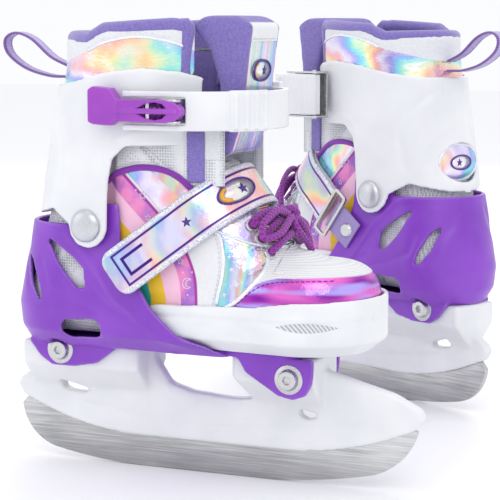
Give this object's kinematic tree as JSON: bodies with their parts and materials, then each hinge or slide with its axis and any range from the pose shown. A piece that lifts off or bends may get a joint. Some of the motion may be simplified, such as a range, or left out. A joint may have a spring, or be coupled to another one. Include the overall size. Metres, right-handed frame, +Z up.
{
  "type": "ice skates",
  "caption": "Adjustable ice skates: laced soft boots in a rigid chassis and tilting ankle cuff, with cam buckle, instep strap, sliding toe shell and steel runners",
  "frame": {"origin": "centre of the bottom of the bounding box of the pair, on the ice under the runners", "axes": "+X is the right skate's forward direction, +Y goes from the right skate to the left skate, +Z is up"},
  "size_m": [0.2654, 0.3888, 0.27],
  "materials": {
    "steel": "brushed",
    "holder_white": "satin",
    "shell_white": "satin",
    "chassis_purple": "satin",
    "lever_purple": "gloss",
    "upper_fabric": "mesh and coated leather",
    "collar_fabric": "fleece",
    "lace_purple": "braided",
    "webbing_lilac": "woven",
    "strap_silver": "pearl foil",
    "bolt_metal": "polished",
    "trim_white": "satin"
  },
  "bodies": {
    "right_base": {"right_blade": "steel", "right_blade_holder": "holder_white", "right_mount_sleeves": "bolt_metal", "right_mount_screws": "bolt_metal", "right_chassis": "chassis_purple", "right_footbed": "collar_fabric", "right_boot_quarter": "upper_fabric", "right_laces": "lace_purple", "right_eyelets": "trim_white", "right_strap_ring": "bolt_metal", "right_ring_tab": "webbing_lilac", "right_tab_rivet": "bolt_metal", "right_tongue": "collar_fabric"},
    "right_toe": {"right_toe_shell": "shell_white", "right_boot_vamp": "upper_fabric", "right_size_spring": "bolt_metal"},
    "right_size_button_body": {"right_size_button": "lever_purple"},
    "right_cuff": {"right_cuff": "shell_white", "right_ankle_rivets": "bolt_metal", "right_collar": "collar_fabric", "right_pull_loop": "webbing_lilac", "right_buckle_base": "bolt_metal", "right_cuff_rivets": "bolt_metal", "right_buckle_pins": "bolt_metal", "right_ratchet_frame": "bolt_metal"},
    "right_buckle_lever_body": {"right_buckle_lever": "lever_purple", "right_strap_pin": "bolt_metal"},
    "right_buckle_strap_body": {"right_buckle_strap": "shell_white"},
    "right_ratchet_lever_body": {"right_ratchet_lever": "shell_white"},
    "right_instep_strap_body": {"right_instep_strap": "strap_silver"},
    "left_base": {"left_blade": "steel", "left_blade_holder": "holder_white", "left_mount_sleeves": "bolt_metal", "left_mount_screws": "bolt_metal", "left_chassis": "chassis_purple", "left_footbed": "collar_fabric", "left_boot_quarter": "upper_fabric", "left_laces": "lace_purple", "left_eyelets": "trim_white", "left_strap_ring": "bolt_metal", "left_ring_tab": "webbing_lilac", "left_tab_rivet": "bolt_metal", "left_tongue": "collar_fabric"},
    "left_toe": {"left_toe_shell": "shell_white", "left_boot_vamp": "upper_fabric", "left_size_spring": "bolt_metal"},
    "left_size_button_body": {"left_size_button": "lever_purple"},
    "left_cuff": {"left_cuff": "shell_white", "left_ankle_rivets": "bolt_metal", "left_collar": "collar_fabric", "left_pull_loop": "webbing_lilac", "left_buckle_base": "bolt_metal", "left_cuff_rivets": "bolt_metal", "left_buckle_pins": "bolt_metal", "left_ratchet_frame": "bolt_metal"},
    "left_buckle_lever_body": {"left_buckle_lever": "lever_purple", "left_strap_pin": "bolt_metal"},
    "left_buckle_strap_body": {"left_buckle_strap": "shell_white"},
    "left_ratchet_lever_body": {"left_ratchet_lever": "shell_white"},
    "left_instep_strap_body": {"left_instep_strap": "strap_silver"}
  },
  "joints": [
    {"name": "right_toe_slide", "type": "slide", "parent": "right_base", "child": "right_toe", "axis": [1, 0, 0], "range_m": [0, 0.018]},
    {"name": "right_size_press", "type": "slide", "parent": "right_toe", "child": "right_size_button_body", "axis": [0, -1, 0], "range_m": [0, 0.0015], "stiffness_N_per_m": 300, "deforming": ["right_size_spring"]},
    {"name": "right_cuff_tilt", "type": "hinge", "parent": "right_base", "child": "right_cuff", "pos_m": [-0.05828, -0.13821, 0.15], "axis": [0, 1, 0], "range_deg": [0, 6]},
    {"name": "right_lever_swing", "type": "hinge", "parent": "right_cuff", "child": "right_buckle_lever_body", "pos_m": [0.00172, -0.19121, 0.217], "axis": [0, 0, 1], "range_deg": [0, 100]},
    {"name": "right_strap_swing", "type": "hinge", "parent": "right_cuff", "child": "right_buckle_strap_body", "pos_m": [0.01572, -0.09221, 0.217], "axis": [0, 0, 1], "range_deg": [0, 12]},
    {"name": "right_ratchet_lift", "type": "hinge", "parent": "right_cuff", "child": "right_ratchet_lever_body", "pos_m": [-0.01228, -0.08571, 0.217], "axis": [0, 0, 1], "range_deg": [0, 25], "stiffness_Nm_per_rad": 0.05},
    {"name": "right_strap_lift", "type": "hinge", "parent": "right_base", "child": "right_instep_strap_body", "pos_m": [-0.01701, -0.09421, 0.13864], "axis": [-0.606, 0, 0.7955], "range_deg": [0, 35], "deforming": ["right_instep_strap"]},
    {"name": "left_toe_slide", "type": "slide", "parent": "left_base", "child": "left_toe", "axis": [-0.9107, 0.4131, 0], "range_m": [0, 0.018]},
    {"name": "left_size_press", "type": "slide", "parent": "left_toe", "child": "left_size_button_body", "axis": [0.4131, 0.9107, 0], "range_m": [0, 0.0015], "stiffness_N_per_m": 300, "deforming": ["left_size_spring"]},
    {"name": "left_cuff_tilt", "type": "hinge", "parent": "left_base", "child": "left_cuff", "pos_m": [0.04936, 0.10001, 0.15], "axis": [-0.4131, -0.9107, 0], "range_deg": [0, 6]},
    {"name": "left_lever_swing", "type": "hinge", "parent": "left_cuff", "child": "left_buckle_lever_body", "pos_m": [0.01661, 0.17306, 0.217], "axis": [0, 0, 1], "range_deg": [0, 100]},
    {"name": "left_strap_swing", "type": "hinge", "parent": "left_cuff", "child": "left_buckle_strap_body", "pos_m": [-0.03703, 0.08869, 0.217], "axis": [0, 0, 1], "range_deg": [0, 12]},
    {"name": "left_ratchet_lift", "type": "hinge", "parent": "left_cuff", "child": "left_ratchet_lever_body", "pos_m": [-0.01422, 0.0712, 0.217], "axis": [0, 0, 1], "range_deg": [0, 25], "stiffness_Nm_per_rad": 0.05},
    {"name": "left_strap_lift", "type": "hinge", "parent": "left_base", "child": "left_instep_strap_body", "pos_m": [-0.0064, 0.07699, 0.13864], "axis": [0.5519, -0.2503, 0.7955], "range_deg": [0, 35], "deforming": ["left_instep_strap"]},
    {"name": "pair_spread", "type": "slide", "parent": "right_base", "child": "left_base", "axis": [0, 1, 0], "range_m": [0, 0.12]}
  ],
  "couplings": [
    {"joint": "right_strap_swing", "follows": "right_lever_swing", "ratio": 0.12},
    {"joint": "left_strap_swing", "follows": "left_lever_swing", "ratio": 0.12}
  ]
}
